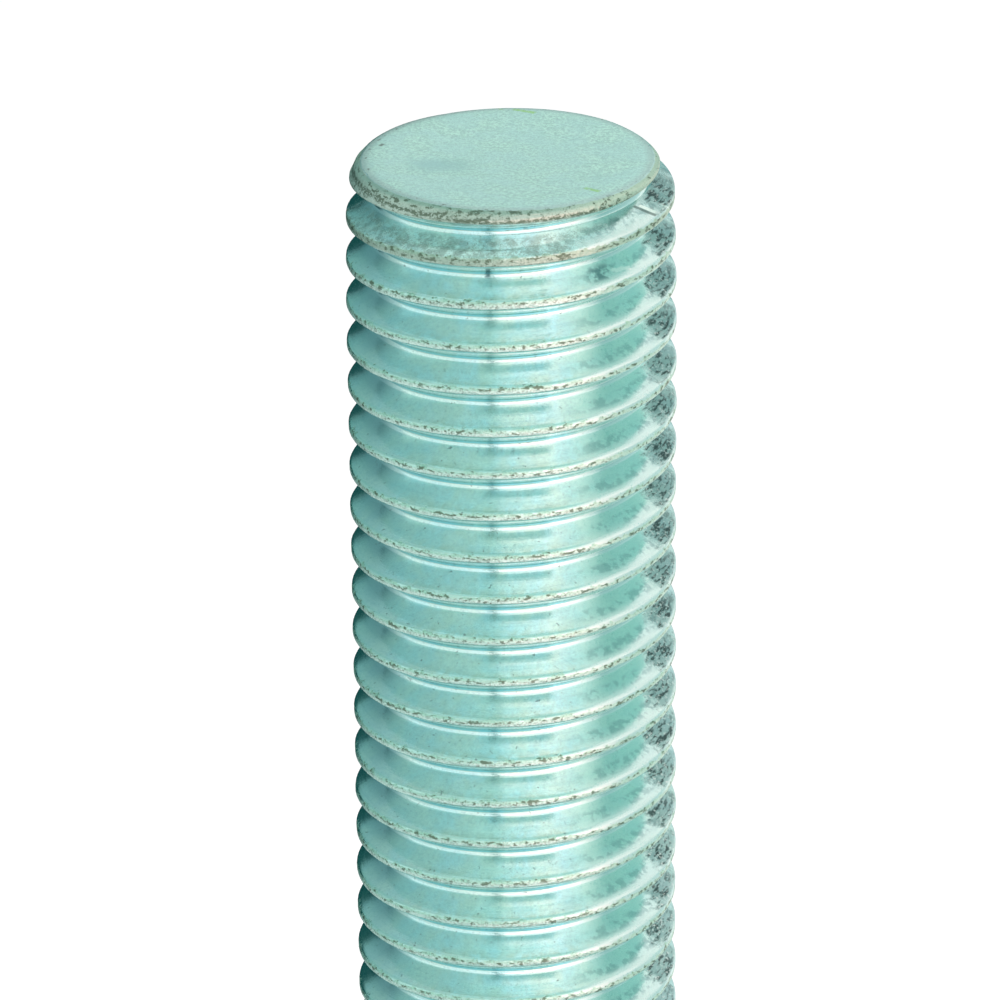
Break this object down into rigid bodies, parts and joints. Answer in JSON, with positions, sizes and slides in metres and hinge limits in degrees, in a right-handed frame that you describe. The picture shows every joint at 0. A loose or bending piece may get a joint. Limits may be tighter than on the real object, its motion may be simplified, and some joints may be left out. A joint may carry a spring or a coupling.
{
  "type": "threaded rod",
  "caption": "Straight steel rod with a coarse right-hand thread over its full length and chamfered square-cut ends, used with nuts to hang, clamp or tie things together.",
  "frame": {"origin": "middle of the lower end face, which the rod stands on", "axes": "+Z along the rod towards its upper end; the rod is round, so +X and +Y are any two directions across it"},
  "size_m": [0.0186, 0.0186, 0.1524],
  "materials": {
    "zinc_plate": "satin zinc plate with a blue-green cast, rougher and greyer on the crests and end rims"
  },
  "bodies": {
    "root": {"rod": "zinc_plate"}
  },
  "joints": []
}
